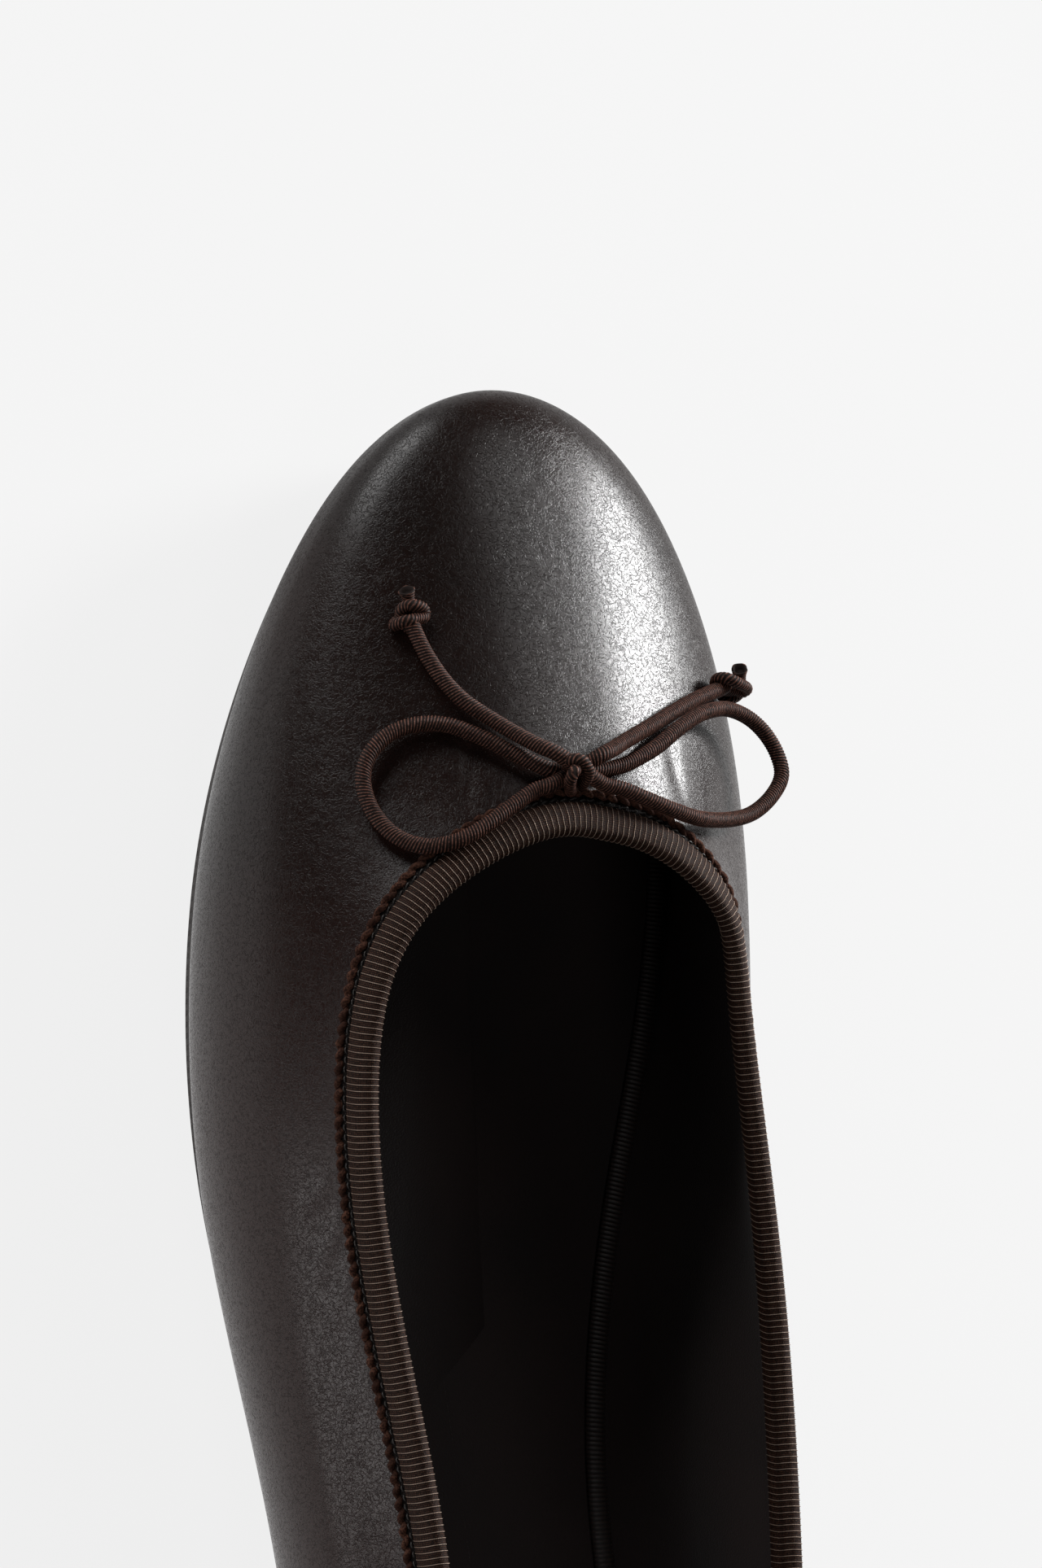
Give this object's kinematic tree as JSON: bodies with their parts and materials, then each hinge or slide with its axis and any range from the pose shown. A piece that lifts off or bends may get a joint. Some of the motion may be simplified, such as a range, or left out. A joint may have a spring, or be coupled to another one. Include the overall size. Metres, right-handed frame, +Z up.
{
  "type": "ballet flat",
  "caption": "Left ballet flat in dark leather with a round toe, low heel, ribbed topline binding and a small knotted cord bow.",
  "frame": {"origin": "on the floor under the middle of the shoe's plan, measured without the bow", "axes": "+Y to the toe, +X to the inner (medial) side of the left foot, +Z up from the floor"},
  "size_m": [0.0843, 0.25, 0.0632],
  "materials": {
    "smooth_leather": "smooth semi-gloss, nearly black",
    "ribbed_tape": "ribbed woven tape, dark brown",
    "lining_suede": "matt napped lining, dark brown",
    "sole_rubber": "matt, dark brown",
    "braided_cord": "fine braided elastic cord, dark brown"
  },
  "bodies": {
    "root": {"upper": "smooth_leather", "topline_binding": "ribbed_tape", "insole": "lining_suede", "outsole": "sole_rubber", "heel": "sole_rubber", "bow_knot": "braided_cord", "bow_loop_lateral": "braided_cord", "bow_loop_medial": "braided_cord", "bow_end_lateral": "braided_cord", "bow_end_medial": "braided_cord", "bow_end_knot_lateral": "braided_cord", "bow_end_knot_medial": "braided_cord"}
  },
  "joints": []
}
